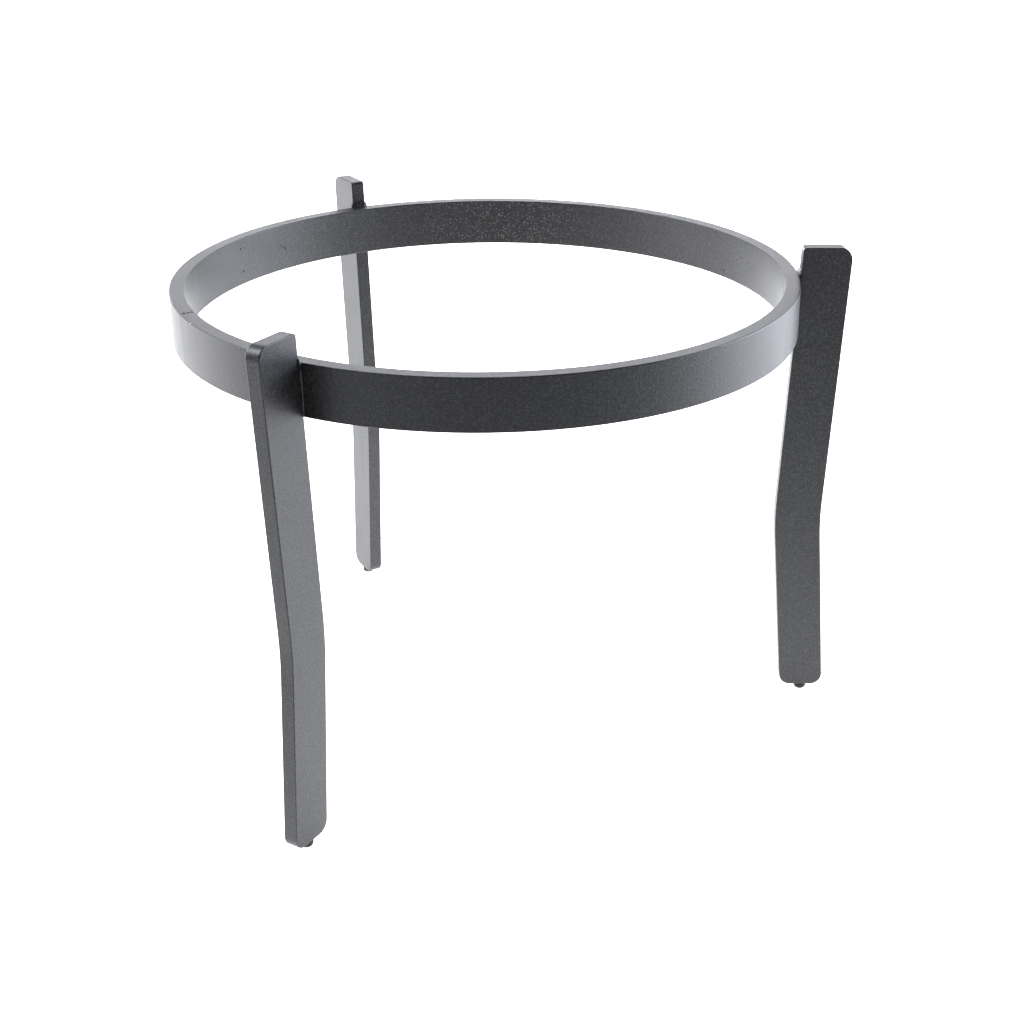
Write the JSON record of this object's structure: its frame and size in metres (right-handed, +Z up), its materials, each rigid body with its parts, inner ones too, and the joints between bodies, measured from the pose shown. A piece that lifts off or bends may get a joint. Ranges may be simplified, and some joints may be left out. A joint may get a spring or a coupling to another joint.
{
  "type": "propane burner stand",
  "caption": "Round flat-bar ring welded to three cranked flat-bar legs that stand a little above it, on small domed feet. Holds a gas burner or pot.",
  "frame": {"origin": "on the floor, on the axis of the ring", "axes": "+Z up along the ring's axis, +X out towards the right leg; the other legs are at 120 and 240 degrees"},
  "size_m": [0.2712, 0.256, 0.203],
  "materials": {
    "powder_coat": "satin dark grey powder coat with a fine grain on flat steel bar",
    "coated_weld": "the same powder coat over small weld beads",
    "foot_plug": "black, slightly glossy moulded plug"
  },
  "bodies": {
    "root": {"support_ring": "powder_coat", "ring_seam_weld": "coated_weld", "right_leg": "powder_coat", "back_leg": "powder_coat", "front_leg": "powder_coat", "right_leg_weld_left": "coated_weld", "right_leg_weld_right": "coated_weld", "right_leg_weld_top": "coated_weld", "back_leg_weld_left": "coated_weld", "back_leg_weld_right": "coated_weld", "back_leg_weld_top": "coated_weld", "front_leg_weld_left": "coated_weld", "front_leg_weld_right": "coated_weld", "front_leg_weld_top": "coated_weld", "right_leg_foot": "foot_plug", "back_leg_foot": "foot_plug", "front_leg_foot": "foot_plug"}
  },
  "joints": []
}
